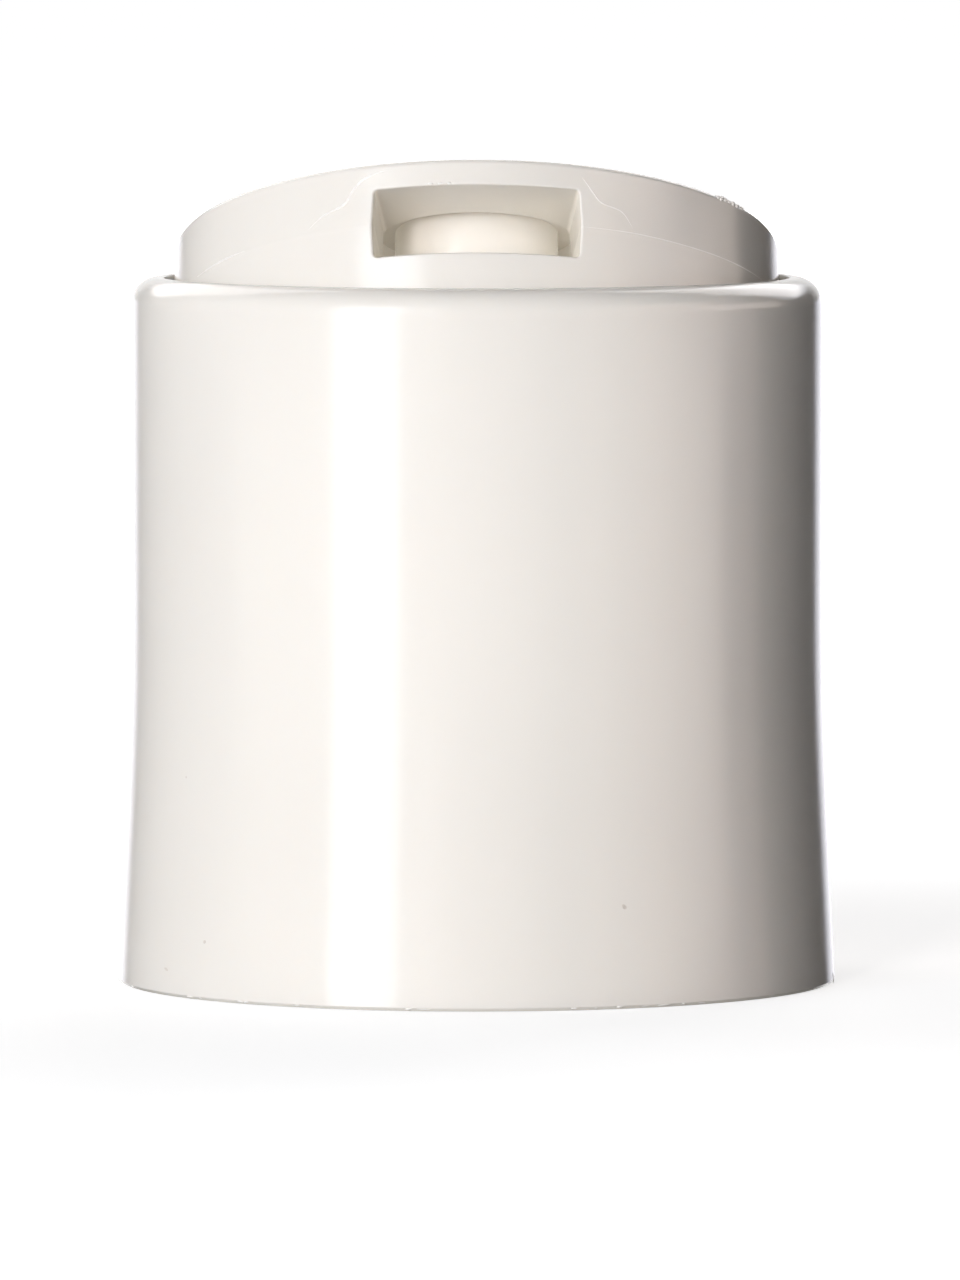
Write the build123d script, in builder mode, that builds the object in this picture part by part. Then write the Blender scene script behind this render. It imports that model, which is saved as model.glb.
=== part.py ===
from build123d import *

import os
from math import atan2, cos, hypot, radians, sin, sqrt, tan

# Disc top closure for a bottle neck with the 24 mm, 410 finish, shown tilted open.
# Millimetres. The origin is the centre of the base rim, +Z is up, the window faces -Y.

# Outside of the cap body
barrel_radius = 13.18
base_flare = 0.52
flare_height = 10.63
flare_blend = 3.87
shoulder_height = 26.88
shoulder_width = 1.25
shoulder_flat = 0.25
rim_chamfer = 0.12

# Inside of the skirt, where the bottle neck screws in
skirt_wall = 1.08
pilot_step = 0.7
pilot_height = 1.6
lead_in = 0.4
deck_thickness = 1.2
seal_bead_radius = 9.3
seal_bead_wall = 0.6
seal_bead_drop = 0.4
seal_bead_chamfer = 0.15

# Well above the deck, which holds the disc
lip_land = 0.15
undercut = 0.43
undercut_depth = 1.9
well_chamfer = 0.3

# Disc and its pivot: depths run down from the plane of the disc's top edge
disc_gap = 0.35
disc_draft = 1.75
disc_edge_chamfer = 0.2
plate_thickness = 1.05
flange_wall = 0.9
flange_reach = 1.13
parting_depth = 2.44
closed_proud = 0.2
tilt = 19.3
pivot_setback = 2.86
pivot_depth = 2.6
pivot_radius = 0.9
pivot_clearance = 0.08
trunnion_bite = 0.25
trunnion_end_gap = 0.1
trunnion_chamfer = 0.2
open_stop_gap = 0.15

# Dispensing window and the duct behind it
window_height = 2.64
window_half_width = 3.84
window_bulge = 0.075
window_chamfer = 0.12
duct_convergence = 3.85
duct_wall = 0.8
duct_floor = 1.01

# Sealing plug under the disc, its socket, and the tube on the deck that they close
plug_forward = 4.35
plug_radius = 3.08
plug_wall = 0.8
plug_depth = 4.0
plug_lead = 0.1
plug_lead_height = 0.85
socket_gap = 0.65
socket_front_flare = 0.15
socket_rear_flare = 0.48
socket_groove = 0.3
seal_clearance = 0.03
tube_wall = 0.51
tube_chamfer = 0.3

# Ribs on the deck that the closed disc comes down on
stop_rib_gap = 0.1
stop_rib_width = 1.2
stop_rib_length = 1.7
stop_rib_spread = 70

# Thumb dish on the rear of the disc
dish_radius = 5.0
dish_depth = 0.35
dish_margin = 0.75

# Distance under which two places count as the same
hairline = 0.001

# The base flares out below the barrel, and a long arc blends the two.
base_radius = barrel_radius + base_flare
flare_angle = atan2(base_flare, flare_height)
flare_top = flare_height + flare_blend
flare_start = (
    barrel_radius + flare_blend * sin(flare_angle),
    flare_height - flare_blend * cos(flare_angle),
)

# Places that follow from the sizes above
shoulder_fillet = shoulder_width - shoulder_flat
thread_root_radius = barrel_radius - skirt_wall
neck_pilot_radius = thread_root_radius - pilot_step
opening_radius = barrel_radius - shoulder_width
well_radius = opening_radius + undercut
tilt_sin = sin(radians(tilt))
tilt_cos = cos(radians(tilt))
disc_radius = opening_radius - disc_gap
disc_narrowing = tan(radians(disc_draft))
disc_top_radius = disc_radius - parting_depth * disc_narrowing
pivot_z = shoulder_height + closed_proud - pivot_depth
disc_plane = Plane(
    origin=(
        0,
        pivot_setback - pivot_setback * tilt_cos + pivot_depth * tilt_sin,
        pivot_z + pivot_setback * tilt_sin + pivot_depth * tilt_cos,
    ),
    x_dir=(1, 0, 0),
    z_dir=(0, tilt_sin, tilt_cos),
)

# The deck lies just under the rear edge of the open disc's flange.
window_bottom = plate_thickness + window_height
socket_depth = window_bottom + duct_floor
flange_depth = socket_depth + flange_reach
rear_drop = (disc_radius - pivot_setback) * tilt_sin + (flange_depth - pivot_depth) * tilt_cos
deck_top = pivot_z - rear_drop - open_stop_gap
deck_underside = deck_top - deck_thickness
thread_wall_height = deck_underside - pilot_height

# The tube's mouth is cut on the slant, so that it meets the socket's mouth of the open disc.
socket_radius = plug_radius + socket_gap
socket_mouth_radius = socket_radius + (socket_front_flare + socket_rear_flare) / 2
socket_mouth_forward = plug_forward - (socket_rear_flare - socket_front_flare) / 2
tube_bore_radius = plug_radius + seal_clearance
tube_radius = tube_bore_radius + tube_wall
mouth_plane = disc_plane.offset(-socket_depth)
trunnion_root = sqrt(disc_radius**2 - pivot_setback**2) - flange_wall
trunnion_tip = sqrt(well_radius**2 - pivot_setback**2) + trunnion_bite
disc_axis = Axis(disc_plane.origin, disc_plane.z_dir)
plug_axis = Axis(disc_plane.from_local_coords((0, -plug_forward, 0)), disc_plane.z_dir)


def facing_front(distance):
    """Plane across the disc's duct, that far in front of the disc's axis."""
    origin = disc_plane.from_local_coords((0, -distance, 0))
    return Plane(origin=origin, x_dir=disc_plane.x_dir, z_dir=-disc_plane.y_dir)


def window_outline(distance):
    """Corners of the duct's section there: its sides draft both ways from the parting line."""
    window_edge = sqrt(disc_radius**2 - window_half_width**2)
    half = window_half_width + (distance - window_edge) * tan(radians(duct_convergence))
    return (
        (-half, -plate_thickness),
        (-half - window_bulge, -parting_depth),
        (-half, -window_bottom),
        (half, -window_bottom),
        (half + window_bulge, -parting_depth),
        (half, -plate_thickness),
    )


def circles_at(builder, height):
    """Round edges of the part at that height."""
    band = (height - hairline, height + hairline)
    return builder.edges().filter_by(GeomType.CIRCLE).filter_by_position(Axis.Z, *band)


def on_window_lip(edge):
    """Whether the edge is one of the two long lips of the window in the flange."""
    middle = disc_plane.to_local_coords(edge @ 0.5)
    in_flange = middle.Y < 0 and hypot(middle.X, middle.Y) > disc_radius - flange_wall / 2
    at_top = abs(middle.Z + plate_thickness) < hairline
    at_bottom = abs(middle.Z + window_bottom) < hairline
    return in_flange and (at_top or at_bottom)


# Discharge tube, before it is joined to the deck
with BuildPart() as discharge_tube:
    with BuildSketch(Plane.XY.offset(deck_underside)):
        with Locations((0, -plug_forward)):
            Circle(tube_radius)
    extrude(amount=shoulder_height - deck_underside)
    split(bisect_by=mouth_plane, keep=Keep.BOTTOM)

# Cap body: skirt, shoulder, deck, well and tube in one moulding
with BuildPart() as cap_body:
    with BuildSketch(Plane.XZ):
        with BuildLine():
            taper = Line((base_radius, 0), flare_start)
            TangentArc(flare_start, (barrel_radius, flare_top), tangent=taper % 1)
            Polyline(
                (barrel_radius, flare_top),
                (barrel_radius, shoulder_height),
                (0, shoulder_height),
                (0, 0),
                (base_radius, 0),
            )
        make_face()
    revolve(axis=Axis.Z)
    fillet(cap_body.faces().sort_by(Axis.Z)[-1].edges(), shoulder_fillet)
    chamfer(cap_body.faces().sort_by(Axis.Z)[0].edges(), rim_chamfer)

    # Skirt, with a lead-in chamfer at its mouth
    with BuildSketch(Plane.XY):
        Circle(thread_root_radius)
    extrude(amount=thread_wall_height, mode=Mode.SUBTRACT)
    chamfer(cap_body.faces().sort_by(Axis.Z)[0].edges().sort_by(SortBy.RADIUS)[0], lead_in)
    with BuildSketch(Plane.XY.offset(thread_wall_height)):
        Circle(neck_pilot_radius)
    extrude(amount=deck_underside - thread_wall_height, mode=Mode.SUBTRACT)

    # Well: a thin lip keeps the opening narrow, and the wall behind it leaves the disc its swing
    with BuildSketch(Plane.XZ):
        Polygon(
            (0, deck_top),
            (well_radius, deck_top),
            (well_radius, shoulder_height - undercut_depth),
            (opening_radius, shoulder_height - lip_land),
            (opening_radius, shoulder_height),
            (0, shoulder_height),
            align=None,
        )
    revolve(axis=Axis.Z, mode=Mode.SUBTRACT)
    chamfer(circles_at(cap_body, deck_top).sort_by(SortBy.RADIUS)[-1], well_chamfer)

    # Bead under the deck that seals on the bottle neck's rim
    with BuildSketch(Plane.XY.offset(deck_underside)):
        Circle(seal_bead_radius)
        Circle(seal_bead_radius - seal_bead_wall, mode=Mode.SUBTRACT)
    extrude(amount=-seal_bead_drop)
    chamfer(circles_at(cap_body, deck_underside - seal_bead_drop), seal_bead_chamfer)

    # Discharge tube, open through the deck
    add(discharge_tube.part)
    chamfer(circles_at(cap_body, deck_top).sort_by(SortBy.RADIUS)[0], tube_chamfer)
    with BuildSketch(Plane.XY.offset(deck_underside)):
        with Locations((0, -plug_forward)):
            Circle(tube_bore_radius)
    extrude(amount=shoulder_height - deck_underside, mode=Mode.SUBTRACT)

    # Stop ribs, from the deck to just under the closed disc's flange
    with BuildSketch(Plane.XY.offset(deck_top)):
        with PolarLocations(
            well_radius - stop_rib_length / 2,
            2,
            start_angle=-90 - stop_rib_spread / 2,
            angular_range=stop_rib_spread,
            endpoint=True,
        ):
            Rectangle(stop_rib_length + flange_wall / 2, stop_rib_width)
    extrude(amount=shoulder_height + closed_proud - flange_depth - stop_rib_gap - deck_top)

    # Pivot recesses in the well's wall
    with BuildSketch(Plane.YZ):
        with Locations((pivot_setback, pivot_z)):
            Circle(pivot_radius + pivot_clearance)
    extrude(amount=trunnion_tip + trunnion_end_gap, both=True, mode=Mode.SUBTRACT)
cap_body.part.label = "cap_body"

# Press disc, built in its own tilted plane
with BuildPart() as press_disc:
    with BuildSketch(facing_front(0)):
        Polygon(
            (0, 0),
            (disc_top_radius, 0),
            (disc_radius, -parting_depth),
            (disc_radius - (flange_depth - parting_depth) * disc_narrowing, -flange_depth),
            (disc_radius - flange_wall, -flange_depth),
            (disc_radius - flange_wall, -plate_thickness),
            (0, -plate_thickness),
            align=None,
        )
    revolve(axis=disc_axis)
    chamfer(press_disc.edges().filter_by(GeomType.CIRCLE).sort_by(disc_axis)[-1], disc_edge_chamfer)

    # Walls of the duct and of the socket behind it
    duct_outer = window_outline(disc_radius)[-1][0] + duct_wall
    with BuildSketch(disc_plane.offset(-plate_thickness)):
        with Locations((0, -(disc_radius + plug_forward) / 2)):
            Rectangle(2 * duct_outer, disc_radius - plug_forward)
        with Locations((0, -socket_mouth_forward)):
            Circle(socket_mouth_radius + duct_wall)
        Circle(disc_radius - flange_wall / 2, mode=Mode.INTERSECT)
    extrude(amount=plate_thickness - socket_depth)

    # Duct, from in front of the flange to the middle of the socket
    with BuildSketch(facing_front(disc_radius + flange_wall)):
        Polygon(*window_outline(disc_radius + flange_wall), align=None)
    with BuildSketch(facing_front(plug_forward)):
        Polygon(*window_outline(plug_forward), align=None)
    loft(ruled=True, mode=Mode.SUBTRACT)
    chamfer(press_disc.edges().filter_by(on_window_lip), window_chamfer)

    # Socket, wider at its mouth, with a shallow groove for the tube's rim in its roof
    with BuildSketch(disc_plane.offset(socket_groove - plate_thickness)):
        with Locations((0, -plug_forward)):
            Circle(socket_radius)
    with BuildSketch(disc_plane.offset(-socket_depth)):
        with Locations((0, -socket_mouth_forward)):
            Circle(socket_mouth_radius)
    loft(mode=Mode.SUBTRACT)

    # Hollow sealing plug, with a long lead on its rim so that it swings clear of the tube
    with BuildSketch(facing_front(plug_forward)):
        Polygon(
            (0, socket_groove - plate_thickness),
            (plug_radius, socket_groove - plate_thickness),
            (plug_radius, plug_lead_height - plug_depth),
            (plug_radius - plug_lead, -plug_depth),
            (plug_radius - plug_wall, -plug_depth),
            (plug_radius - plug_wall, -plate_thickness),
            (0, -plate_thickness),
            align=None,
        )
    revolve(axis=plug_axis)

    # Trunnions
    for side in (-1, 1):
        with BuildSketch(Plane.YZ.offset(side * trunnion_root)):
            with Locations((pivot_setback, pivot_z)):
                Circle(pivot_radius)
        extrude(amount=side * (trunnion_tip - trunnion_root))
    chamfer(press_disc.faces().sort_by(Axis.X)[-1].edges(), trunnion_chamfer)
    chamfer(press_disc.faces().sort_by(Axis.X)[0].edges(), trunnion_chamfer)

    # Thumb dish
    dish_sphere = (dish_radius**2 + dish_depth**2) / (2 * dish_depth)
    dish_setback = disc_top_radius - disc_edge_chamfer - dish_radius - dish_margin
    with Locations(disc_plane.from_local_coords((0, dish_setback, dish_sphere - dish_depth))):
        Sphere(dish_sphere, mode=Mode.SUBTRACT)
press_disc.part.label = "press_disc"

os.makedirs("parts", exist_ok=True)
export_step(cap_body.part, "parts/cap_body.step")
export_step(press_disc.part, "parts/press_disc.step")
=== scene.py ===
import math
import random

import bmesh
import bpy
from mathutils import Matrix, Vector


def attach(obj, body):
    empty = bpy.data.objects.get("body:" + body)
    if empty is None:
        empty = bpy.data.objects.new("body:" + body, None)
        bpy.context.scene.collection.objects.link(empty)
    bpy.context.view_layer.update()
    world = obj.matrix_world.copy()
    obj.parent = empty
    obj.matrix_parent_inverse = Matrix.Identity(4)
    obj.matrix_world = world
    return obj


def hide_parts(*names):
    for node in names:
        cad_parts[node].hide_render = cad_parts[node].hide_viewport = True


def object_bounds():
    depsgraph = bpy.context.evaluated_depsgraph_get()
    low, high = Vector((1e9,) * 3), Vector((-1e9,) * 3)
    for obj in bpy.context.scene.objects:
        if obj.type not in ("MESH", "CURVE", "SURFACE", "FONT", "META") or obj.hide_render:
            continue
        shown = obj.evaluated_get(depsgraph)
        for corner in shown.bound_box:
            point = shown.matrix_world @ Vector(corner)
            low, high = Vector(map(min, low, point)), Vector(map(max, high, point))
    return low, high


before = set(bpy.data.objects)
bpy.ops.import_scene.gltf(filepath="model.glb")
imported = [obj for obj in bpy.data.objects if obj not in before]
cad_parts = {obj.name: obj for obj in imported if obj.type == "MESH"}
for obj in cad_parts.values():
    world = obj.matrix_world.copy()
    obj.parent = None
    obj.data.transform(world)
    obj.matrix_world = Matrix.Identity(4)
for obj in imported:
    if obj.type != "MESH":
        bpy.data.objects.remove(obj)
cad_low, cad_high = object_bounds()
random.seed(24410)
MM = 0.001

# Sizes of the cap in millimetres, as in the part's source. Round things are given by their radius.
BARREL = 13.18
BASE = 13.7
FLARE_HEIGHT = 10.63
FLARE_BLEND = 3.87
TOP = 26.88
OPENING = 11.93
WELL = 12.36
WELL_CHAMFER = 0.3
UNDERCUT_DEPTH = 1.9
LIP_LAND = 0.15
LIP_ROUND = 0.05
SHOULDER_FILLET = 1.0
RIM_CHAMFER = 0.12
LEAD_IN = 0.4
THREAD_ROOT = 12.1
NECK_PILOT = 11.4
THREAD_WALL_TOP = 15.6
DECK_UNDER = 17.2
DECK_TOP = 18.4
SEAL_BEAD = 9.3
SEAL_BEAD_INNER = 8.7
SEAL_BEAD_LOW = 16.8
SEAL_BEAD_CHAMFER = 0.15
RIB_TURN = 35
RIB_LENGTH = 1.7
RIB_TAIL = 0.225
RIB_HALF_WIDTH = 0.6
RIB_GAP = 0.1
TILT = math.radians(19.3)
CLOSED_PROUD = 0.2
PIVOT_SETBACK = 2.86
PIVOT_DEPTH = 2.6
PIVOT_Z = 24.48
DISC = 11.58
DISC_TOP = 11.505
DISC_FOOT = 11.476
DISC_DRAFT = 1.75
EDGE_ROUND = 0.24
PLATE = 1.05
FLANGE_DEPTH = 5.83
FLANGE_INNER = 10.68
PARTING = 2.44
WINDOW_BOTTOM = 3.69
WINDOW_HALF = 3.84
WINDOW_BULGE = 0.075
WINDOW_CORNER = 0.14
RIM_ROUND = 0.1
DUCT_SLOPE = math.tan(math.radians(3.85))
DUCT_WALL = 0.8
DUCT_WALL_REACH = 11.13
SOCKET_DEPTH = 4.70
SOCKET = 3.73
SOCKET_MOUTH = 4.045
SOCKET_MOUTH_FORWARD = 4.185
GROOVE = 0.3
PLUG_FORWARD = 4.35
PLUG = 3.08
PLUG_INNER = 2.28
PLUG_DEPTH = 4.0
PLUG_LEAD = 0.1
PLUG_LEAD_HEIGHT = 0.85
TUBE = 3.62
TUBE_BORE = 3.11
TRUNNION = 0.9
TRUNNION_ROOT = 10.32
TRUNNION_TIP = 12.27
RECESS = 0.98
RECESS_FROM = 11.0
RECESS_END_GAP = 0.1
DISH_SETBACK = 5.555
DISH = 5.0
DISH_DEPTH = 0.35
DISH_CURVE = 1.3

# The chamfer round the tube's foot: a cone from just under the deck to just inside the tube's wall
FOOT_SPREAD = 0.31
FOOT_SINK = 0.01
FOOT_TUCK = 0.02
FOOT_RISE = 0.32

# How far a shape reaches into, or past, the one that it is joined to or cut from
TUBE_SINK = 0.3
RIB_SINK = 0.2
BORE_BELOW = 0.6
BORE_ABOVE = 1.0
DUCT_WALL_SINK = 0.06
SOCKET_WALL_SINK = 0.05
SOCKET_WALL_LIFT = 0.0005
DUCT_START = -1.2
RIM_OUTSIDE = -0.01
RIM_MARGIN = 0.02
PLUG_SINK = 0.1
PLUG_ROOF = 0.01

# Rings of points that only keep the faces short
DECK_RINGS = (0, 4, 8)
WELL_RING = 21.5
LIP_RING = 0.15
SKIRT_RINGS = (23.0, 19.0)
FLARE_RINGS = (0.5, 1.0)
THREAD_RING = 8.0
UNDER_RINGS = (3, 0)
DISH_RINGS = 23
DISH_RING_STEP = 0.5
DISC_WALL_RINGS = (0.3, 0.65)
FLANGE_RING = (0.04, 1.3)
PLATE_RINGS = (8, 4, 0)
PLUG_RING = 1.0

# Steps round a full circle
CAP_STEPS = 288
PLUG_STEPS = 144
TUBE_STEPS = 96
BAR_STEPS = 48

# Neck thread
THREAD_PITCH = 3.175
THREAD_TURNS = 1.5
THREAD_START = 2.6
THREAD_CREST = 11.05
THREAD_FOOT_HALF = 0.95
THREAD_CREST_HALF = 0.4
THREAD_BEVEL = 0.12
THREAD_CREST_BEVEL = 0.1
THREAD_SINK = 0.05
THREAD_SPREAD = 0.03
THREAD_STEPS = 216
THREAD_TAPER = 10.0
THREAD_LEAST_RISE = 0.02

# Painted glow, as a share of white: emission on chosen faces, standing in for light through the
# thin walls
PAINTED_GLOW_COLOUR = (1.0, 0.94, 0.82, 1.0)
DUCT_PAINTED_GLOW = 0.11
FLASH_PAINTED_GLOW = 0.07
RIM_PAINTED_GLOW = 0.07
SIDE_PAINTED_GLOW = 0.07
ROOF_PAINTED_GLOW = 0.045

# Where the faces lie that get this painted glow, and how near a face counts as on a surface
RIM_FACE_TOP = 0.13
RIM_FACE_FROM = 13.5
DISC_WALL_FROM = 11.3
FACES_OUT = 0.995
HAIR = 0.01
MARGIN = 0.1

# Plastic. Scales are per metre, depths in metres.
SINK_SCALE = 95.0
SINK_DEPTH = 0.00003
FLOW_SCALE = 260.0
FLOW_STRETCH = (1.0, 1.0, 0.45)
GRAIN_SCALE = 900.0
TINT_SPREAD = (0.985, 1.01)
GLOSS_SPREAD = 0.03
REFRACTION = 1.49
SCATTER_SHARE = 0.15
SCATTER_COLOUR = (1.0, 0.9, 0.8)
SCATTER_DEPTH = 0.0012
STAIN_SCALE = 9000.0
STAIN_SPREAD = (0.8, 1.2)
STAIN_ROUGHNESS = 0.45

# From the disc's own plane, with depths below its top edge, to the cap as it stands open
TILT_SIN = math.sin(TILT)
TILT_COS = math.cos(TILT)
DISC_MATRIX = Matrix(
    (
        (1, 0, 0, 0),
        (0, TILT_COS, TILT_SIN, PIVOT_SETBACK * (1 - TILT_COS) + PIVOT_DEPTH * TILT_SIN),
        (0, -TILT_SIN, TILT_COS, PIVOT_Z + PIVOT_SETBACK * TILT_SIN + PIVOT_DEPTH * TILT_COS),
        (0, 0, 0, 1),
    )
)

# Camera: the photograph's long lens, a little above the cap and looking slightly down
CAMERA_PLACE = Vector((0.13, -495.0, 44.6)) * MM
CAMERA_AIM = Vector((0.13, 0.0, 13.0)) * MM
LENS_MM = 365.0
SENSOR_MM = 36.0
CLIP_START = 0.01
CLIP_END = 20.0

camera_data = bpy.data.cameras.new("camera")
camera_data.sensor_width = SENSOR_MM
camera_data.lens = LENS_MM
camera_data.clip_start = CLIP_START
camera_data.clip_end = CLIP_END
camera = bpy.data.objects.new("camera", camera_data)
camera.location = CAMERA_PLACE
camera.rotation_euler = (CAMERA_AIM - CAMERA_PLACE).to_track_quat("-Z", "Y").to_euler()
bpy.context.scene.collection.objects.link(camera)
bpy.context.scene.camera = camera
bpy.context.scene.view_settings.view_transform = "Standard"


# Mesh tools. Shapes are made in millimetres and scaled once, when a piece is finished.


def mesh_from(name, points, faces):
    mesh = bpy.data.meshes.new(name)
    mesh.from_pydata([tuple(p) for p in points], [], faces)
    mesh.update()
    shaper = bmesh.new()
    shaper.from_mesh(mesh)
    bmesh.ops.recalc_face_normals(shaper, faces=shaper.faces)
    shaper.to_mesh(mesh)
    shaper.free()
    return mesh


def skinned(name, rows):
    """Closed solid through rows of points, with as many points in each row."""
    count = len(rows[0])
    last = (len(rows) - 1) * count
    faces = [tuple(range(count))[::-1], tuple(range(last, last + count))]
    for low in range(0, last, count):
        high = low + count
        for step in range(count):
            after = (step + 1) % count
            faces.append((low + step, low + after, high + after, high + step))
    return mesh_from(name, [point for row in rows for point in row], faces)


def lathe(name, profile, segments, lift=lambda x, y, height: 0.0):
    """Closed solid of revolution about Z: the profile runs from the axis to the axis."""
    points = []
    faces = []
    rings = []
    for radius, height in profile:
        ring = []
        for step in range(segments if radius > 0 else 1):
            turn = 2 * math.pi * step / segments
            x = radius * math.sin(turn)
            y = -radius * math.cos(turn)
            ring.append(len(points))
            points.append((x, y, height + lift(x, y, height)))
        rings.append(ring)
    for low, high in zip(rings, rings[1:]):
        for step in range(segments):
            after = (step + 1) % segments
            if len(low) == 1:
                faces.append((low[0], high[after], high[step]))
            elif len(high) == 1:
                faces.append((low[step], low[after], high[0]))
            else:
                faces.append((low[step], low[after], high[after], high[step]))
    return mesh_from(name, points, faces)


def prism(name, outline, low, high):
    """Solid between two heights over an outline of (x, y) points."""
    return skinned(name, [[(x, y, height) for x, y in outline] for height in (low, high)])


def circle(middle_y, radius, count):
    """Points (x, y) of a circle whose centre is on the cap's middle plane."""
    turns = [2 * math.pi * i / count for i in range(count)]
    return [(radius * math.sin(turn), middle_y - radius * math.cos(turn)) for turn in turns]


def cone(name, low, high, count=TUBE_STEPS):
    """Solid between two circles, each given as (y of its centre, radius, height)."""
    rows = []
    for middle_y, radius, height in (low, high):
        rows.append([(x, y, height) for x, y in circle(middle_y, radius, count)])
    return skinned(name, rows)


def arc(centre, radius, start, end, count):
    """Profile points on an arc, angles in degrees, from start to end."""
    turns = [math.radians(start + (end - start) * i / count) for i in range(count + 1)]
    return [(centre[0] + radius * math.cos(t), centre[1] + radius * math.sin(t)) for t in turns]


def combined(base, tool, operation):
    """The base mesh after an exact boolean with the tool."""
    holder = bpy.data.objects.new("base", base)
    cutter = bpy.data.objects.new("tool", tool)
    for thing in (holder, cutter):
        bpy.context.scene.collection.objects.link(thing)
    step = holder.modifiers.new("join", "BOOLEAN")
    step.operation = operation
    step.solver = "EXACT"
    step.object = cutter
    bpy.context.view_layer.update()
    evaluated = holder.evaluated_get(bpy.context.evaluated_depsgraph_get())
    made = bpy.data.meshes.new_from_object(evaluated)
    for thing in (holder, cutter):
        bpy.data.objects.remove(thing)
    return made


def piece(name, mesh, body, material, sharp=28.0):
    """Turns a mesh in millimetres into a piece that rides on a body."""
    mesh.name = name
    mesh.transform(Matrix.Scale(MM, 4))
    mesh.materials.clear()
    mesh.materials.append(material)
    mesh.polygons.foreach_set("use_smooth", [True] * len(mesh.polygons))
    mesh.set_sharp_from_angle(angle=math.radians(sharp))
    thing = bpy.data.objects.new(name, mesh)
    bpy.context.scene.collection.objects.link(thing)
    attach(thing, body)
    return thing


# Material tools


def set_inputs(node, values):
    for socket, value in values.items():
        node.inputs[socket].default_value = value


def add_node(tree, kind, values=None, **settings):
    """A new shader node with its settings, and with values on its inputs."""
    node = tree.nodes.new("ShaderNode" + kind)
    for setting, value in settings.items():
        setattr(node, setting, value)
    set_inputs(node, values or {})
    return node


def greater(tree, first, second):
    """The greater of two outputs."""
    node = add_node(tree, "Math", operation="MAXIMUM")
    tree.links.new(first, node.inputs[0])
    tree.links.new(second, node.inputs[1])
    return node.outputs[0]


def tinted(tree, colour, spread, fac):
    """The colour, from its dark to its light shade as the noise runs from 0 to 1."""
    dark, light = [(*[min(1.0, c * share) for c in colour], 1.0) for share in spread]
    tint = add_node(tree, "Mix", data_type="RGBA")
    set_inputs(tint, {"A": dark, "B": light})
    tree.links.new(fac, tint.inputs["Factor"])
    return tint.outputs["Result"]


def plastic(name, colour, roughness):
    """Glossy moulded polypropylene: faint sink waves, and slight flow in colour and gloss."""
    material = bpy.data.materials.new(name)
    material.use_nodes = True
    tree = material.node_tree
    link = tree.links.new
    shader = tree.nodes["Principled BSDF"]
    set_inputs(
        shader,
        {
            "IOR": REFRACTION,
            "Subsurface Weight": SCATTER_SHARE,
            "Subsurface Radius": SCATTER_COLOUR,
            "Subsurface Scale": SCATTER_DEPTH,
            "Emission Color": PAINTED_GLOW_COLOUR,
        },
    )
    place = add_node(tree, "TexCoord")
    stretch = add_node(tree, "Mapping", {"Scale": FLOW_STRETCH})
    link(place.outputs["Object"], stretch.inputs["Vector"])

    sink = add_node(tree, "TexNoise", {"Scale": SINK_SCALE, "Detail": 1.0})
    wave = add_node(tree, "Bump", {"Strength": 1.0, "Distance": SINK_DEPTH})
    link(stretch.outputs["Vector"], sink.inputs["Vector"])
    link(sink.outputs["Fac"], wave.inputs["Height"])
    link(wave.outputs["Normal"], shader.inputs["Normal"])

    flow = add_node(tree, "TexNoise", {"Scale": FLOW_SCALE, "Detail": 3.0})
    link(stretch.outputs["Vector"], flow.inputs["Vector"])
    link(tinted(tree, colour, TINT_SPREAD, flow.outputs["Fac"]), shader.inputs["Base Color"])

    grain = add_node(tree, "TexNoise", {"Scale": GRAIN_SCALE})
    gloss = {"To Min": roughness - GLOSS_SPREAD, "To Max": roughness + GLOSS_SPREAD}
    polish = add_node(tree, "MapRange", gloss)
    link(place.outputs["Object"], grain.inputs["Vector"])
    link(grain.outputs["Fac"], polish.inputs["Value"])
    link(polish.outputs["Result"], shader.inputs["Roughness"])

    # Emission strength from a face attribute: painted glow on chosen faces, not a lamp
    through = add_node(tree, "Attribute", attribute_name="painted_glow")
    link(through.outputs["Fac"], shader.inputs["Emission Strength"])
    return material


def stain(name, colour):
    """Dull dirt in the plastic, uneven in colour."""
    material = bpy.data.materials.new(name)
    material.use_nodes = True
    tree = material.node_tree
    shader = tree.nodes["Principled BSDF"]
    set_inputs(shader, {"Roughness": STAIN_ROUGHNESS})
    place = add_node(tree, "TexCoord")
    patch = add_node(tree, "TexNoise", {"Scale": STAIN_SCALE})
    tree.links.new(place.outputs["Object"], patch.inputs["Vector"])
    shade = tinted(tree, colour, STAIN_SPREAD, patch.outputs["Fac"])
    tree.links.new(shade, shader.inputs["Base Color"])
    return material


body_plastic = plastic("body_plastic", (0.88, 0.85, 0.795), 0.16)
disc_plastic = plastic("disc_plastic", (0.868, 0.836, 0.78), 0.18)
flash_plastic = plastic("flash_plastic", (0.95, 0.93, 0.9), 0.3)


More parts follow.
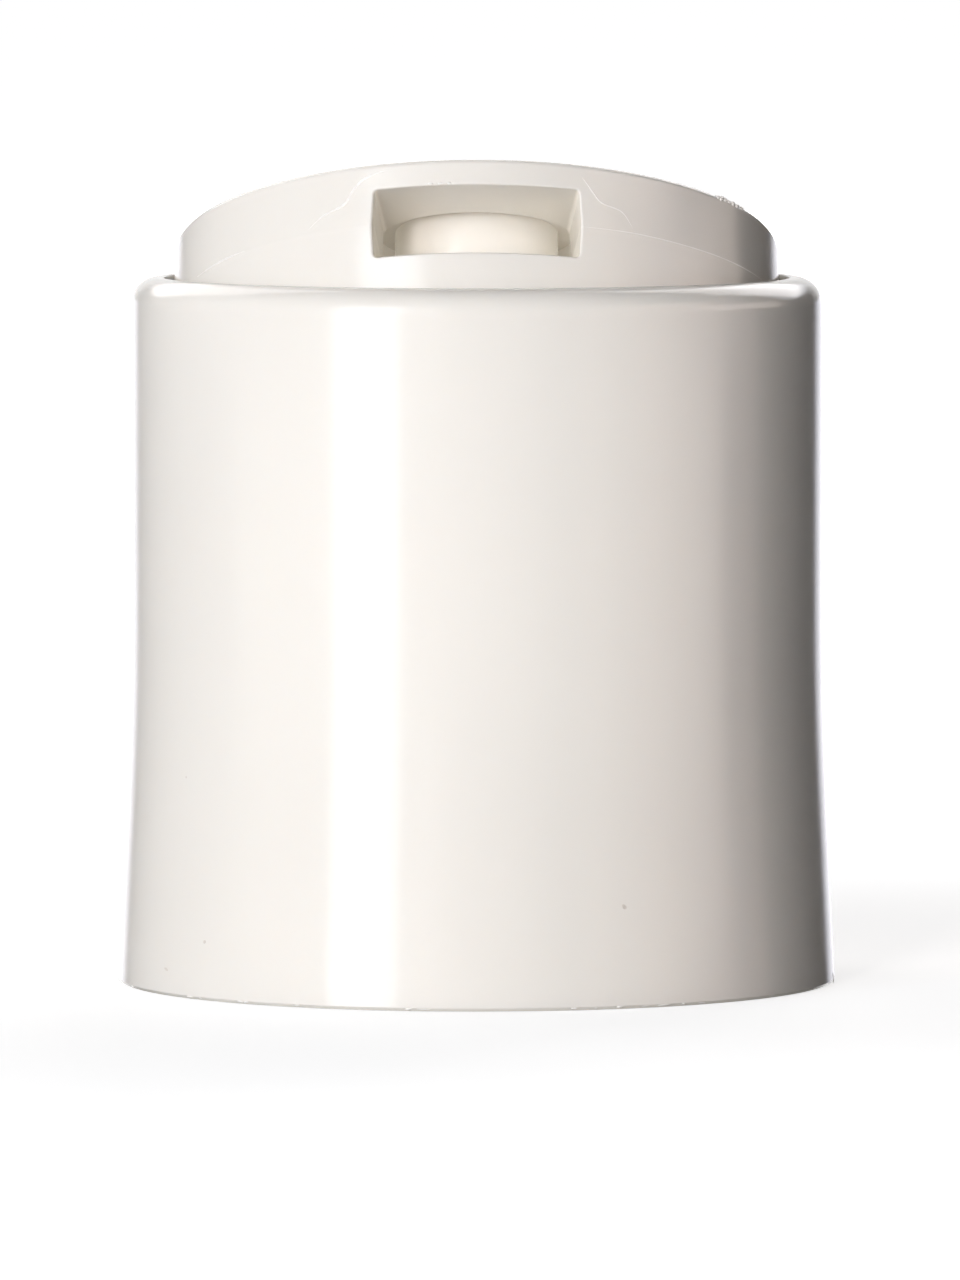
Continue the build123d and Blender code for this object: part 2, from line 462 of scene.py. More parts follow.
# Cap body
def body_profile():
    """From the axis on the deck, up the well, over the shoulder, down the skirt and back inside."""
    angle = math.atan2(BASE - BARREL, FLARE_HEIGHT)
    flare_radius = BARREL + FLARE_BLEND * math.sin(angle)
    flare_top = FLARE_HEIGHT - FLARE_BLEND * math.cos(angle)
    rim_radius = BASE - RIM_CHAMFER * math.tan(angle)
    blend_radius = FLARE_BLEND / math.tan(angle / 2)
    blend_centre = (BARREL + blend_radius, FLARE_HEIGHT + FLARE_BLEND)
    shoulder_centre = (BARREL - SHOULDER_FILLET, TOP - SHOULDER_FILLET)

    profile = [(radius, DECK_TOP) for radius in DECK_RINGS]
    profile += [(WELL - WELL_CHAMFER, DECK_TOP), (WELL, DECK_TOP + WELL_CHAMFER)]
    profile += [(WELL, WELL_RING), (WELL, TOP - UNDERCUT_DEPTH), (OPENING, TOP - LIP_LAND)]
    profile += arc((OPENING + LIP_ROUND, TOP - LIP_ROUND), LIP_ROUND, 180, 90, 3)
    profile += [(OPENING + LIP_RING, TOP)]
    profile += arc(shoulder_centre, SHOULDER_FILLET, 90, 0, 16)
    profile += [(BARREL, height) for height in SKIRT_RINGS]
    profile += arc(blend_centre, blend_radius, 180, 180 + math.degrees(angle), 8)
    for t in FLARE_RINGS:
        radius = flare_radius + (rim_radius - flare_radius) * t
        profile.append((radius, flare_top * (1 - t) + RIM_CHAMFER * t))

    profile += [(BASE - RIM_CHAMFER, 0.0), (THREAD_ROOT + LEAD_IN, 0.0), (THREAD_ROOT, LEAD_IN)]
    profile += [(THREAD_ROOT, THREAD_RING), (THREAD_ROOT, THREAD_WALL_TOP)]
    profile += [(NECK_PILOT, THREAD_WALL_TOP), (NECK_PILOT, DECK_UNDER)]
    bead_edge = SEAL_BEAD_LOW + SEAL_BEAD_CHAMFER
    profile += [(SEAL_BEAD, DECK_UNDER), (SEAL_BEAD, bead_edge)]
    profile += [(SEAL_BEAD - SEAL_BEAD_CHAMFER, SEAL_BEAD_LOW)]
    profile += [(SEAL_BEAD_INNER + SEAL_BEAD_CHAMFER, SEAL_BEAD_LOW)]
    profile += [(SEAL_BEAD_INNER, bead_edge), (SEAL_BEAD_INNER, DECK_UNDER)]
    return profile + [(radius, DECK_UNDER) for radius in UNDER_RINGS]


def tube_solid(radius, low, above):
    """Upright cylinder on the tube's axis, up to the slanted mouth and above it."""
    up = DISC_MATRIX.to_3x3() @ Vector((0, 0, 1))
    mouth = DISC_MATRIX @ Vector((0, 0, -SOCKET_DEPTH))
    outline = circle(-PLUG_FORWARD, radius, TUBE_STEPS)
    foot = [(x, y, low) for x, y in outline]
    top = [(x, y, mouth.z - (y - mouth.y) * up.y / up.z + above) for x, y in outline]
    return skinned("tube", [foot, top])


def stop_rib(side):
    """Rib on the deck that the flange of the closed disc comes down on."""
    turn = math.radians(RIB_TURN * side)
    out = Vector((math.sin(turn), -math.cos(turn)))
    across = Vector((out.y, -out.x))
    near = WELL - RIB_LENGTH - RIB_TAIL
    far = WELL + RIB_SINK
    outline = []
    for radius, side in ((near, -1), (far, -1), (far, 1), (near, 1)):
        outline.append(tuple(out * radius + across * (side * RIB_HALF_WIDTH)))
    return prism("rib", outline, DECK_TOP - RIB_SINK, TOP + CLOSED_PROUD - FLANGE_DEPTH - RIB_GAP)


def cross_bar(radius, start, end):
    """Cylinder along X at the pivot."""
    bar = cone("bar", (0, radius, start), (0, radius, end), BAR_STEPS)
    to_pivot = Matrix.Translation((0, PIVOT_SETBACK, PIVOT_Z))
    bar.transform(to_pivot @ Matrix.Rotation(math.radians(90), 4, "Y"))
    return bar


body = lathe("cap", body_profile(), CAP_STEPS)
foot_chamfer = cone(
    "foot",
    (-PLUG_FORWARD, TUBE + FOOT_SPREAD, DECK_TOP - FOOT_SINK),
    (-PLUG_FORWARD, TUBE - FOOT_TUCK, DECK_TOP + FOOT_RISE),
)
tube = tube_solid(TUBE, DECK_TOP - TUBE_SINK, 0.0)
for added in (tube, foot_chamfer, stop_rib(-1), stop_rib(1)):
    body = combined(body, added, "UNION")
recess_end = TRUNNION_TIP + RECESS_END_GAP
for removed in (
    tube_solid(TUBE_BORE, DECK_UNDER - BORE_BELOW, BORE_ABOVE),
    cross_bar(RECESS, -recess_end, -RECESS_FROM),
    cross_bar(RECESS, RECESS_FROM, recess_end),
):
    body = combined(body, removed, "DIFFERENCE")
cap_shell = piece("cap_shell", body, "body", body_plastic)
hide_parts("cap_body")


# Press disc, in its own plane: x right, y back, z up from the plane of its top edge
def dish(x, y, height):
    """How far the thumb dish lowers the plate's top."""
    away = math.hypot(x, y - DISH_SETBACK) / DISH
    if height < 0 or away >= 1:
        return 0.0
    return -DISH_DEPTH * (1 - away * away) ** DISH_CURVE


def wall_radius(depth):
    """Radius of the flange's outer wall at that depth."""
    if depth < PARTING:
        return DISC_TOP + (DISC - DISC_TOP) * depth / PARTING
    return DISC + (DISC_FOOT - DISC) * (depth - PARTING) / (FLANGE_DEPTH - PARTING)


def disc_profile():
    """From the axis over the plate's top, down the flange and back under the plate."""
    profile = [(DISH_RING_STEP * i, 0.0) for i in range(DISH_RINGS)]
    profile += arc((DISC_TOP - EDGE_ROUND, -EDGE_ROUND), EDGE_ROUND, 90, 2, 8)
    for t in DISC_WALL_RINGS:
        radius = DISC_TOP + (DISC - DISC_TOP) * t
        profile.append((radius, -EDGE_ROUND - (PARTING - EDGE_ROUND) * t))
    profile += [(DISC, -PARTING), (DISC - FLANGE_RING[0], -PARTING - FLANGE_RING[1])]
    profile += [(DISC_FOOT, -FLANGE_DEPTH), (FLANGE_INNER, -FLANGE_DEPTH)]
    profile += [(FLANGE_INNER, -PLATE)]
    return profile + [(radius, -PLATE) for radius in PLATE_RINGS]


def window_outline(across=40, upright=8, corner=6):
    """The window's outline as (x, depth, outward x, outward depth), with small rounded corners."""
    half = WINDOW_HALF - WINDOW_CORNER
    span = WINDOW_BOTTOM - PLATE - 2 * WINDOW_CORNER
    marks = []

    def round_corner(x, depth, start):
        for i in range(1, corner):
            turn = math.radians(start + 90 * i / corner)
            out = (math.cos(turn), math.sin(turn))
            marks.append((x + WINDOW_CORNER * out[0], depth + WINDOW_CORNER * out[1], *out))

    for side, start, end in ((1, PLATE, WINDOW_BOTTOM), (-1, WINDOW_BOTTOM, PLATE)):
        for i in range(across + 1):
            marks.append((side * (-half + 2 * half * i / across), start, 0, -side))
        round_corner(side * half, start + side * WINDOW_CORNER, -90 * side)
        for i in range(upright + 1):
            depth = start + side * WINDOW_CORNER + side * span * i / upright
            near_parting = max(0.0, 1 - abs(depth - PARTING) / (PARTING - PLATE))
            marks.append((side * (WINDOW_HALF + WINDOW_BULGE * near_parting), depth, side, 0))
        round_corner(side * half, end - side * WINDOW_CORNER, 90 - 90 * side)
    return marks


def window_cutter(rim_steps=6):
    """The duct, from in front of the flange to the middle of the socket, with a rounded rim."""
    marks = window_outline()
    edge = math.sqrt(DISC * DISC - WINDOW_HALF * WINDOW_HALF)

    def narrowing(x, y):
        return (-y - edge) * DUCT_SLOPE * (1 if x > 0 else -1) * min(1.0, abs(x) / WINDOW_HALF)

    rim_outside = RIM_ROUND + RIM_MARGIN
    stations = [(DUCT_START, rim_outside), (RIM_OUTSIDE, rim_outside)]
    for i in range(rim_steps + 1):
        turn = math.radians(90 * i / rim_steps)
        behind = RIM_ROUND - RIM_ROUND * math.cos(turn)
        stations.append((behind, RIM_ROUND - RIM_ROUND * math.sin(turn)))
    rows = []
    for behind, grow in stations:
        row = []
        for x, depth, out_x, out_depth in marks:
            wide = x + out_x * grow
            deep = depth + out_depth * grow
            y = behind - math.sqrt(wall_radius(deep) ** 2 - wide * wide)
            if behind == DUCT_START:
                y = -DISC + behind
            row.append((wide + narrowing(x, y), y, -deep))
        rows.append(row)
    back = -PLUG_FORWARD
    rows.append([(x + narrowing(x, back), back, -depth) for x, depth, out_x, out_depth in marks])
    return skinned("duct", rows)


def duct_walls(steps=24):
    """The block round the duct, from the plug's middle to the flange."""
    outer = WINDOW_HALF + DUCT_WALL
    outline = [(-outer, -PLUG_FORWARD), (outer, -PLUG_FORWARD)]
    for i in range(steps + 1):
        x = outer * (1 - 2 * i / steps)
        outline.append((x, -math.sqrt(DUCT_WALL_REACH**2 - x**2)))
    return prism("walls", outline, -SOCKET_DEPTH, -PLATE + DUCT_WALL_SINK)


def hollow_plug():
    top = -PLATE + GROOVE + PLUG_SINK
    profile = [(0, top), (PLUG, top), (PLUG, -PLATE - PLUG_RING)]
    profile += [(PLUG, -PLUG_DEPTH + PLUG_LEAD_HEIGHT), (PLUG - PLUG_LEAD, -PLUG_DEPTH)]
    profile += [(PLUG_INNER, -PLUG_DEPTH), (PLUG_INNER, -PLATE - PLUG_ROOF)]
    profile += [(0, -PLATE - PLUG_ROOF)]
    plug = lathe("plug", profile, PLUG_STEPS)
    plug.transform(Matrix.Translation((0, -PLUG_FORWARD, 0)))
    return plug


socket_wall = cone(
    "socket_wall",
    (-SOCKET_MOUTH_FORWARD, SOCKET_MOUTH + DUCT_WALL, -SOCKET_DEPTH + SOCKET_WALL_LIFT),
    (-SOCKET_MOUTH_FORWARD, SOCKET_MOUTH + DUCT_WALL, -PLATE + SOCKET_WALL_SINK),
)
socket = cone(
    "socket",
    (-SOCKET_MOUTH_FORWARD, SOCKET_MOUTH, -SOCKET_DEPTH),
    (-PLUG_FORWARD, SOCKET, -PLATE + GROOVE),
)
disc = lathe("disc", disc_profile(), CAP_STEPS, dish)
for tool, operation in (
    (duct_walls(), "UNION"),
    (socket_wall, "UNION"),
    (window_cutter(), "DIFFERENCE"),
    (socket, "DIFFERENCE"),
    (hollow_plug(), "UNION"),
):
    disc = combined(disc, tool, operation)
disc.transform(DISC_MATRIX)
disc = combined(disc, cross_bar(TRUNNION, TRUNNION_ROOT, TRUNNION_TIP), "UNION")
disc = combined(disc, cross_bar(TRUNNION, -TRUNNION_TIP, -TRUNNION_ROOT), "UNION")
disc_shell = piece("disc_shell", disc, "disc", disc_plastic)
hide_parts("press_disc")


# Painted glow in the duct and on the base rim, in place of light through the thin walls, and clean
# shading of the disc's wall
def paint_glow(mesh, inverse, inside):
    """Marks the faces with painted glow, an emission that stands in for light reaching them through
    the thin walls round them.
    """
    marks = mesh.attributes.new("painted_glow", "FLOAT", "CORNER")
    values = [0.0] * len(mesh.loops)
    for polygon in mesh.polygons:
        amount = inside((inverse @ polygon.center) / MM)
        for corner in polygon.loop_indices:
            values[corner] = amount
    marks.data.foreach_set("value", values)


def rim_glow_amount(centre):
    """Painted glow on the base rim's outer edge, which lightens the chamfer's shaded line."""
    low = centre.z < RIM_FACE_TOP and math.hypot(centre.x, centre.y) > RIM_FACE_FROM
    return RIM_PAINTED_GLOW if low else 0.0


def duct_glow_amount(centre):
    """Painted glow on the duct and the socket, in place of light through the plate and the flange;
    on the plug it grows towards the sides.
    """
    if math.hypot(centre.x, centre.y) > DISC_WALL_FROM:
        return 0.0
    if not -SOCKET_DEPTH - HAIR < centre.z < -PLATE + GROOVE + HAIR:
        return 0.0
    if abs(centre.x) > WINDOW_HALF + MARGIN or centre.y > 0:
        return 0.0
    if math.hypot(centre.x, centre.y + PLUG_FORWARD) < PLUG + HAIR:
        return DUCT_PAINTED_GLOW * min(1.0, abs(centre.x) / PLUG) ** 3
    if centre.z > -PLATE - HAIR:
        return ROOF_PAINTED_GLOW
    if math.hypot(centre.x, centre.y + SOCKET_MOUTH_FORWARD) > SOCKET_MOUTH + MARGIN:
        return SIDE_PAINTED_GLOW
    return DUCT_PAINTED_GLOW


def true_wall_normals(mesh, inverse, wall):
    """Gives the wall's corners the normals of the true surface, whatever faces meet there."""
    forward = inverse.inverted().to_3x3()
    normals = []
    for polygon in mesh.polygons:
        facing = inverse.to_3x3() @ polygon.normal
        slope = wall((inverse @ polygon.center) / MM, facing.normalized())
        for corner in polygon.loop_indices:
            if slope is None:
                normals.append(mesh.corner_normals[corner].vector.copy())
                continue
            place = inverse @ mesh.vertices[mesh.loops[corner].vertex_index].co
            radial = Vector((place.x, place.y, 0)).normalized()
            true = radial * math.cos(slope) + Vector((0, 0, math.sin(slope)))
            normals.append((forward @ true).normalized())
    mesh.normals_split_custom_set(normals)


def disc_wall(centre, facing):
    """How far the flange's outer wall leans up there, or None for other faces."""
    radial = Vector((centre.x, centre.y, 0)).normalized()
    if math.hypot(centre.x, centre.y) < DISC_WALL_FROM or facing.dot(radial) < FACES_OUT:
        return None
    if centre.z > -EDGE_ROUND - HAIR:
        return None
    return math.radians(DISC_DRAFT if centre.z > -PARTING else -DISC_DRAFT)


to_metres = DISC_MATRIX.copy()
to_metres.translation = to_metres.translation * MM
paint_glow(cap_shell.data, Matrix.Identity(4), rim_glow_amount)
true_wall_normals(disc_shell.data, to_metres.inverted(), disc_wall)
paint_glow(disc_shell.data, to_metres.inverted(), duct_glow_amount)


def thread_ridge():
    """A right-handed ridge on the skirt's inner wall, tapered at both ends."""
    rows = []
    for i in range(THREAD_STEPS + 1):
        turn = 2 * math.pi * THREAD_TURNS * i / THREAD_STEPS
        height = THREAD_START + THREAD_PITCH * THREAD_TURNS * i / THREAD_STEPS
        left = THREAD_STEPS - i
        rise = min(1.0, THREAD_TAPER * i / THREAD_STEPS, THREAD_TAPER * left / THREAD_STEPS)
        rise = max(THREAD_LEAST_RISE, rise * rise * (3 - 2 * rise))
        crest = THREAD_ROOT - (THREAD_ROOT - THREAD_CREST) * rise
        foot_half = THREAD_FOOT_HALF * (0.5 + 0.5 * rise)
        crest_half = THREAD_CREST_HALF * (0.5 + 0.5 * rise)
        lower = [
            (THREAD_ROOT + THREAD_SINK, -foot_half - THREAD_SPREAD),
            (THREAD_ROOT - THREAD_BEVEL * rise, -foot_half + THREAD_BEVEL),
            (crest + THREAD_CREST_BEVEL * rise, -crest_half),
            (crest, -crest_half + THREAD_BEVEL),
        ]
        section = lower + [(radius, -up) for radius, up in reversed(lower)]
        rows.append([(r * math.cos(turn), r * math.sin(turn), height + up) for r, up in section])
    return skinned("thread", rows)


piece("neck_thread_ridge", thread_ridge(), "body", body_plastic)

# Flash along lines on the disc's wall, as (name, places, half width, height, raggedness). A place
# is (degrees to the right of the front, depth).
FLASH_LINES = (
    (
        "parting_flash_left",
        ((-66, 2.56), (-60, 2.5), (-54, 2.45), (-48.8, 2.43)),
        0.045,
        0.018,
        0.5,
    ),
    (
        "parting_flash_right",
        ((19.8, 2.5), (30, 2.47), (43, 2.5), (58, 2.5), (69, 2.5)),
        0.03,
        0.014,
        0.3,
    ),
    (
        "slide_flash_left",
        (
            (-33, 2.26),
            (-30, 1.84),
            (-25.6, 1.5),
            (-23.8, 1.03),
            (-22, 0.64),
            (-19.4, 0.43),
            (-16.7, 0.33),
        ),
        0.05,
        0.02,
        0.6,
    ),
    (
        "slide_flash_right",
        ((20, 0.53), (22.2, 1.08), (24, 1.47), (28.1, 1.71), (30.4, 2.3)),
        0.035,
        0.014,
        0.3,
    ),
)
FLASH_SINK = 0.03
FLASH_TAPER = 4.0
FLASH_END = 0.05
FLASH_SHOULDER = 0.8


def on_disc(degrees, depth, out=0.0):
    turn = math.radians(degrees)
    radius = wall_radius(depth) + out
    return Vector((radius * math.sin(turn), -radius * math.cos(turn), -depth))


def smooth_path(places, per_span=10):
    """Points of a Catmull-Rom curve through the places."""
    ends = [places[0], *places, places[-1]]
    path = []
    for corners in zip(ends, ends[1:], ends[2:], ends[3:]):
        for i in range(per_span):
            t = i / per_span
            point = []
            for p, q, r, s in zip(*corners):
                square = 2 * p - 5 * q + 4 * r - s
                cube = 3 * q - p - 3 * r + s
                point.append(0.5 * (2 * q + (r - p) * t + square * t * t + cube * t**3))
            path.append(tuple(point))
    path.append(tuple(places[-1]))
    return path


def paint_flash_glow(thing):
    """Thin flash gets painted glow all over, in place of light through it."""
    paint_glow(thing.data, Matrix.Identity(4), lambda centre: FLASH_PAINTED_GLOW)
    return thing


def flash_line(name, places, half_width, height, ragged):
    """A thin ridge of flash on the disc's wall, uneven where the mould closed badly."""
    path = smooth_path(places)
    count = len(path)
    rows = []
    for i, (degrees, depth) in enumerate(path):
        before = on_disc(*path[max(i - 1, 0)])
        after = on_disc(*path[min(i + 1, count - 1)])
        here = on_disc(degrees, depth)
        outward = Vector((here.x, here.y, 0)).normalized()
        across = outward.cross((after - before).normalized()).normalized()
        from_start = FLASH_TAPER * i / count + FLASH_END
        to_end = FLASH_TAPER * (count - 1 - i) / count + FLASH_END
        taper = min(1.0, from_start, to_end)
        wide = half_width * taper * (1 + ragged * random.uniform(-0.5, 0.9))
        tall = height * taper * (1 + ragged * random.uniform(-0.6, 1.0))
        heights = (-FLASH_SINK, FLASH_SHOULDER * tall, tall, FLASH_SHOULDER * tall, -FLASH_SINK)
        section = zip((-1.0, -0.5, 0.0, 0.5, 1.0), heights)
        rows.append([here + across * side * wide + outward * up for side, up in section])
    mesh = skinned(name, rows)
    mesh.transform(DISC_MATRIX)
    return paint_flash_glow(piece(name, mesh, "disc", flash_plastic, sharp=60.0))


for line in FLASH_LINES:
    flash_line(*line)

# Low uneven domes: rings as (share of the size, share of the height)
BLOB_RINGS = ((0.45, 0.86), (0.8, 0.5), (1.0, 0.0), (1.0, -0.6))
BLOB_SIDES = 12


def blob(centre, outward, size, height, turn, rough):
    """Points and faces of a low uneven dome, sunk a little into the surface it lies on."""
    outward = outward.normalized()
    side = outward.cross(Vector((0, 0, 1))).normalized()
    up = side.cross(outward)
    points = [centre + outward * height]
    for far, tall in BLOB_RINGS:
        for i in range(BLOB_SIDES):
            angle = 2 * math.pi * i / BLOB_SIDES
            uneven = 1 + rough * random.uniform(-1, 1)
            along = math.cos(angle) * size[0] * far * uneven
            over = math.sin(angle) * size[1] * far * uneven
            x = along * math.cos(turn) - over * math.sin(turn)
            y = along * math.sin(turn) + over * math.cos(turn)
            points.append(centre + side * x + up * y + outward * height * tall)
    faces = [(0, 1 + i, 1 + (i + 1) % BLOB_SIDES) for i in range(BLOB_SIDES)]
    last = 1 + (len(BLOB_RINGS) - 1) * BLOB_SIDES
    for low in range(1, last, BLOB_SIDES):
        high = low + BLOB_SIDES
        for i in range(BLOB_SIDES):
            after = (i + 1) % BLOB_SIDES
            faces.append((low + i, high + i, high + after, low + after))
    faces.append(tuple(last + i for i in range(BLOB_SIDES)))
    return points, faces


def blobs(name, specs, body, material):
    points = []
    faces = []
    for spec in specs:
        some, their = blob(*spec)
        faces += [tuple(i + len(points) for i in face) for face in their]
        points += some
    made = piece(name, mesh_from(name, points, faces), body, material, sharp=70.0)
    return paint_flash_glow(made) if material == flash_plastic else made


# Specks of dirt and shallow marks on the skirt, and the dark curl at the rim's right end, as
# (degrees to the right of the front, height, half width, half height, turn)
SPECKS = (
    (-57.8, 10.2, 0.05, 0.085, 0.1),
    (-34.9, 11.0, 0.08, 0.07, 0.0),
    (-44.8, 8.9, 0.14, 0.05, -0.6),
    (-55.3, 8.3, 0.07, 0.06, 0.4),
    (-48.8, 2.2, 0.08, 0.07, 0.0),
    (-59.1, 1.0, 0.14, 0.06, 0.3),
    (24.1, 3.8, 0.11, 0.08, 0.9),
    (84.0, 0.16, 0.26, 0.12, 0.8),
)
SPECK_RISE = 0.012
SPECK_ROUGH = 0.2
BLEND_SWELL = 0.006


def on_skirt(degrees, height):
    """Place and outward direction on the outside of the skirt."""
    turn = math.radians(degrees)
    outward = Vector((math.sin(turn), -math.cos(turn), 0))
    radius = BARREL
    if height < FLARE_HEIGHT:
        radius = BASE - (BASE - BARREL) * height / FLARE_HEIGHT
    elif height < FLARE_HEIGHT + FLARE_BLEND:
        radius = BARREL + BLEND_SWELL
    return outward * radius + Vector((0, 0, height)), outward


speck_specs = []
for degrees, height, wide, tall, turn in SPECKS:
    spot, outward = on_skirt(degrees, height)
    speck_specs.append((spot, outward, (wide, tall), SPECK_RISE, turn, SPECK_ROUGH))
blobs("skirt_specks", speck_specs, "body", stain("speck_grey", (0.68, 0.63, 0.57)))

# Crumbs of flash on the disc's top edge, as (degrees to the right of the front, half width, rise)
EDGE_CRUMBS = (
    (52.6, 0.13, 0.03),
    (53.6, 0.18, 0.07),
    (54.8, 0.14, 0.05),
    (56.2, 0.12, 0.02),
    (57.6, 0.16, 0.05),
    (59.2, 0.2, 0.03),
    (61.0, 0.12, 0.02),
)
EDGE_CRUMB_DEPTH = 0.1
EDGE_CRUMB_INSET = 0.06
EDGE_CRUMB_HALF = 0.1
EDGE_CRUMB_LEAN = 9.0
EDGE_CRUMB_ROUGH = 0.15
CRUMB_ROUGH = 0.3

crumbs = []
for degrees, wide, tall in EDGE_CRUMBS:
    place = on_disc(degrees, EDGE_CRUMB_DEPTH, -EDGE_CRUMB_INSET)
    outward = DISC_MATRIX.to_3x3() @ Vector((place.x, place.y, EDGE_CRUMB_LEAN))
    size = (wide, EDGE_CRUMB_HALF)
    turn = random.uniform(-0.4, 0.4)
    height = tall + EDGE_CRUMB_INSET
    crumbs.append((DISC_MATRIX @ place, outward, size, height, turn, EDGE_CRUMB_ROUGH))
blobs("disc_edge_burrs", crumbs, "disc", flash_plastic)

# Crumbs on the window's upper lip, as (x, half width)
LIP_CRUMBS = ((-1.72, 0.09), (-1.36, 0.1), (-1.02, 0.07))
LIP_CRUMB_DEPTH = PLATE - 0.07
LIP_CRUMB_HALF = 0.05
LIP_CRUMB_RISE = 0.03

crumbs = []
for along, wide in LIP_CRUMBS:
    front = -math.sqrt(wall_radius(LIP_CRUMB_DEPTH) ** 2 - along * along)
    place = Vector((along, front, -LIP_CRUMB_DEPTH))
    outward = DISC_MATRIX.to_3x3() @ Vector((place.x, place.y, 0))
    size = (wide, LIP_CRUMB_HALF)
    crumbs.append((DISC_MATRIX @ place, outward, size, LIP_CRUMB_RISE, 0.0, CRUMB_ROUGH))
blobs("window_lip_burrs", crumbs, "disc", flash_plastic)

# Crumbs of flash along the base rim, in degrees to the right of the front: those that the
# photograph shows, and others on the rear, which it doesn't show
SEEN_CRUMBS = [-52.1, -49.5, -40.3, -39.2, -29.3, -10.6, -8.5]
SEEN_CRUMBS += [15.5, 19.0, 23.0, 27.5, 31.0, 34.5, 38.0]
UNSEEN_CRUMBS = 26
UNSEEN_FROM = 45
UNSEEN_TO = 300
RIM_CRUMB_INSET = 0.06
RIM_CRUMB_HEIGHT = 0.09
RIM_CRUMB_LEAN = -0.2
RIM_CRUMB_HALF = 0.05

crumbs = []
unseen = [random.uniform(UNSEEN_FROM, UNSEEN_TO) for i in range(UNSEEN_CRUMBS)]
for degrees in SEEN_CRUMBS + unseen:
    turn = math.radians(degrees)
    around = Vector((math.sin(turn), -math.cos(turn), 0))
    spot = around * (BASE - RIM_CRUMB_INSET) + Vector((0, 0, RIM_CRUMB_HEIGHT))
    outward = Vector((around.x, around.y, RIM_CRUMB_LEAN))
    size = (random.uniform(0.08, 0.3), RIM_CRUMB_HALF)
    rise = random.uniform(0.03, 0.08)
    crumbs.append((spot, outward, size, rise, random.uniform(-0.2, 0.2), CRUMB_ROUGH))
blobs("base_rim_burrs", crumbs, "body", flash_plastic)


# World: white paper to the camera and, straight behind the cap, to its gloss. It gives no other
# light.
PAPER_EDGE = (0.90, 0.97)
WHITE = (1.0, 1.0, 1.0, 1.0)
ROOM_LIGHT = 0.0

world = bpy.data.worlds.new("studio")
world.use_nodes = True
bpy.context.scene.world = world
tree = world.node_tree
tree.nodes.clear()
link = tree.links.new
output = add_node(tree, "OutputWorld")
path = add_node(tree, "LightPath")
paper = add_node(tree, "Background", {"Color": WHITE, "Strength": 1.0})
room = add_node(tree, "Background", {"Color": WHITE, "Strength": ROOM_LIGHT})
facing = add_node(tree, "TexCoord")
split = add_node(tree, "SeparateXYZ")
behind = add_node(tree, "MapRange", {"From Min": PAPER_EDGE[0], "From Max": PAPER_EDGE[1]})
mirrored = add_node(tree, "Math", operation="MULTIPLY")
mix = add_node(tree, "MixShader")
link(facing.outputs["Generated"], split.inputs[0])
link(split.outputs["Y"], behind.inputs["Value"])
link(behind.outputs["Result"], mirrored.inputs[0])
link(path.outputs["Is Glossy Ray"], mirrored.inputs[1])
seen = greater(tree, path.outputs["Is Camera Ray"], path.outputs["Is Transmission Ray"])
link(greater(tree, seen, mirrored.outputs[0]), mix.inputs[0])
link(room.outputs[0], mix.inputs[1])
link(paper.outputs[0], mix.inputs[2])
link(mix.outputs[0], output.inputs["Surface"])


# Lamps
AIM = Vector((0, 0, 0.015))


def softbox(
    name, azimuth, elevation, distance, width, height, watts, colour, diffuse=True, gloss=True
):
    """Area lamp round the cap: azimuth 0 is the camera's side and positive turns to its right."""
    data = bpy.data.lights.new(name, "AREA")
    data.shape = "RECTANGLE"
    data.size = width
    data.size_y = height
    data.energy = watts
    data.color = colour
    lamp = bpy.data.objects.new(name, data)
    around = math.radians(azimuth)
    up = math.radians(elevation)
    flat = math.cos(up)
    away = Vector((math.sin(around) * flat, -math.cos(around) * flat, math.sin(up)))
    lamp.location = AIM + away * distance
    lamp.rotation_euler = (-away).to_track_quat("-Z", "Y").to_euler()
    lamp.visible_camera = False
    lamp.visible_diffuse = diffuse
    lamp.visible_glossy = gloss
    bpy.context.scene.collection.objects.link(lamp)
    return lamp


# Key and fills light the plastic, and of these only the key is mirrored in it
softbox("key", -36.5, 13.0, 0.6, 0.245, 0.52, 1.78, (0.93, 1.0, 1.08))
softbox("front_fill", -16.0, 12.0, 0.9, 0.15, 0.5, 5.83, (1.035, 0.985, 0.97), gloss=False)
softbox("left_back_fill", -130.0, 15.0, 0.9, 0.5, 0.6, 3.4, (1.02, 0.99, 0.99), gloss=False)
softbox("right_back_fill", 165.0, 15.0, 0.9, 0.5, 0.6, 6.6, (1.03, 0.985, 0.99), gloss=False)

# Cards show only as reflections
softbox("right_card", 45.0, 12.0, 0.9, 0.34, 0.8, 0.7, (1.2, 0.97, 0.85), diffuse=False)
softbox("side_card", 65.0, 12.0, 0.9, 0.34, 0.8, 1.1, (1.25, 0.95, 0.82), diffuse=False)
softbox("edge_card", 83.0, 12.0, 0.9, 0.25, 0.8, 0.75, (1.25, 0.95, 0.87), diffuse=False)
softbox("far_card", 99.0, 12.0, 0.9, 0.25, 0.8, 0.35, (1.25, 0.95, 0.9), diffuse=False)
softbox("back_card", 148.0, 27.0, 0.9, 0.6, 0.4, 0.9, (0.97, 0.99, 1.06), diffuse=False)
softbox("high_card", 180.0, 40.0, 0.9, 1.6, 0.7, 9.0, (1.03, 0.99, 0.97), diffuse=False)

# The paper in front of the cap, as its gloss sees it
table_card = softbox("table_card", 0, 0, 0.9, 1.4, 0.68, 3.7, (1.05, 1.0, 0.93), diffuse=False)
table_card.location = (-0.03, -0.36, 0.0002)
table_card.rotation_euler = (math.pi, 0, 0)

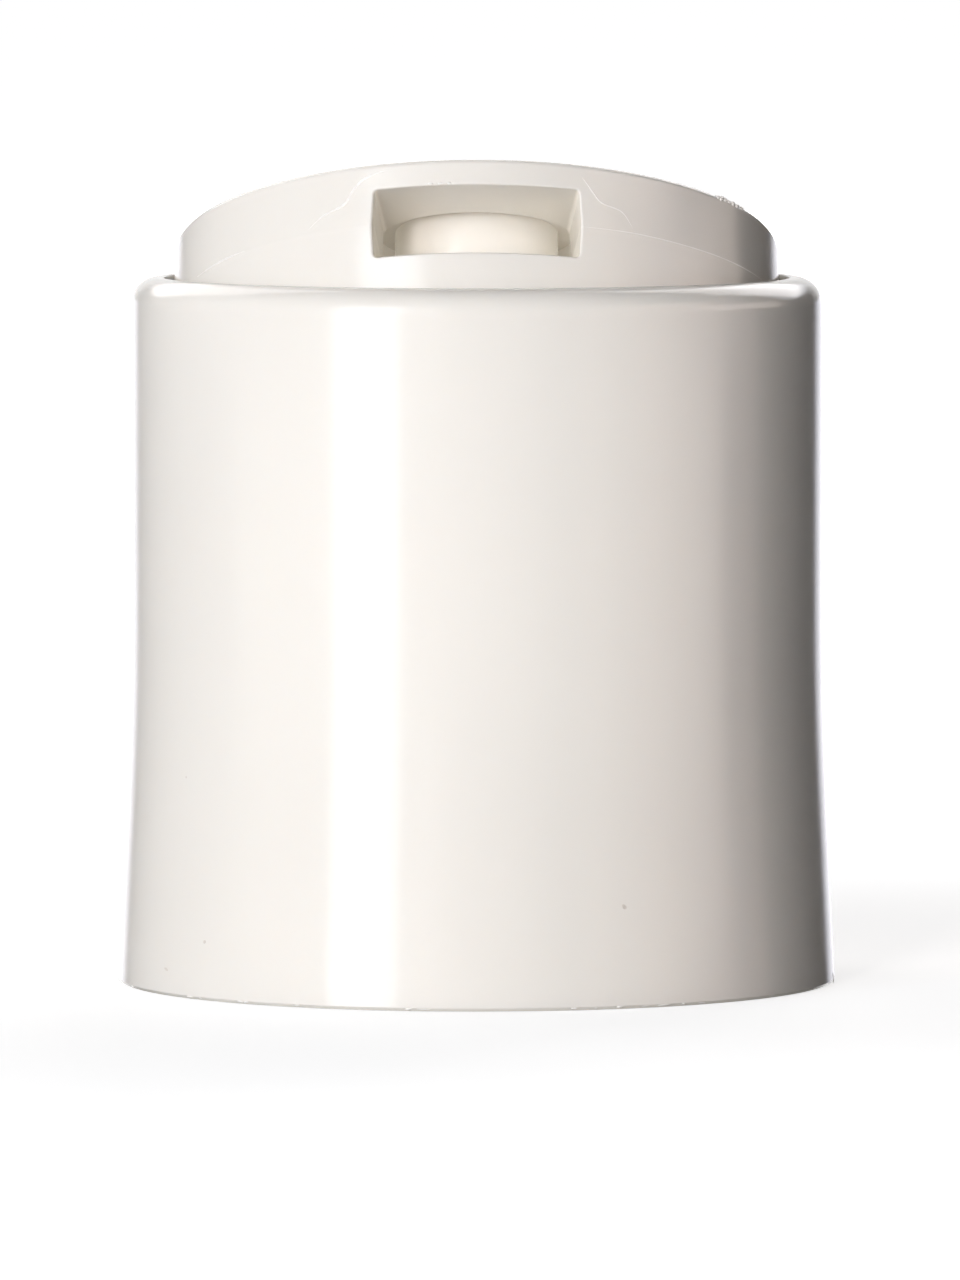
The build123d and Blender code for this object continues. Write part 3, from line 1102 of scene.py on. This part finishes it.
# A low card behind the cap draws its bright sides, and one beside the disc lights the disc's edge
blue = (0.95, 0.95, 1.1)
rim_card = softbox("rim_card", 180, 0, 0.1, 0.12, 0.039, 0.0106, blue, diffuse=False)
rim_card.location.z = 0.0095
warm = (1.15, 0.98, 0.88)
disc_card = softbox("disc_card", 97, 0, 0.08, 0.055, 0.02, 0.0052, warm, diffuse=False)
disc_card.location.z = 0.042

# Floor: white to the camera where light reaches it, so that it keeps the cap's shadow
FLOOR_GLOW = 0.7
FLOOR_NEAR = 0.018
FLOOR_FAR = 0.1
FLOOR_HALF = 3.0
FLOOR_DROP = 0.00002
FLOOR_GREY = (0.5, 0.5, 0.5, 1.0)

floor_mesh = bpy.data.meshes.new("floor")
shaper = bmesh.new()
bmesh.ops.create_grid(shaper, x_segments=1, y_segments=1, size=FLOOR_HALF)
shaper.to_mesh(floor_mesh)
shaper.free()
floor = bpy.data.objects.new("floor", floor_mesh)
bpy.context.scene.collection.objects.link(floor)
floor.location.z = cad_low.z - FLOOR_DROP
floor.visible_glossy = False
floor_material = bpy.data.materials.new("floor_white")
floor_material.use_nodes = True
tree = floor_material.node_tree
tree.nodes.clear()
link = tree.links.new
output = add_node(tree, "OutputMaterial")
path = add_node(tree, "LightPath")
diffuse = add_node(tree, "BsdfDiffuse", {"Color": FLOOR_GREY})
glow = add_node(tree, "Emission", {"Color": WHITE})
place = add_node(tree, "TexCoord")
away = add_node(tree, "VectorMath", operation="LENGTH")
fade = add_node(
    tree,
    "MapRange",
    {"From Min": FLOOR_NEAR, "From Max": FLOOR_FAR, "To Min": FLOOR_GLOW, "To Max": 1.0},
    interpolation_type="SMOOTHSTEP",
)
add = add_node(tree, "AddShader")
mix = add_node(tree, "MixShader")
link(place.outputs["Object"], away.inputs[0])
link(away.outputs["Value"], fade.inputs["Value"])
link(fade.outputs[0], glow.inputs["Strength"])
link(diffuse.outputs[0], add.inputs[0])
link(glow.outputs[0], add.inputs[1])
mirrored = greater(tree, path.outputs["Is Glossy Ray"], path.outputs["Is Transmission Ray"])
link(greater(tree, path.outputs["Is Camera Ray"], mirrored), mix.inputs[0])
link(diffuse.outputs[0], mix.inputs[1])
link(add.outputs[0], mix.inputs[2])
link(mix.outputs[0], output.inputs["Surface"])
floor_mesh.materials.append(floor_material)
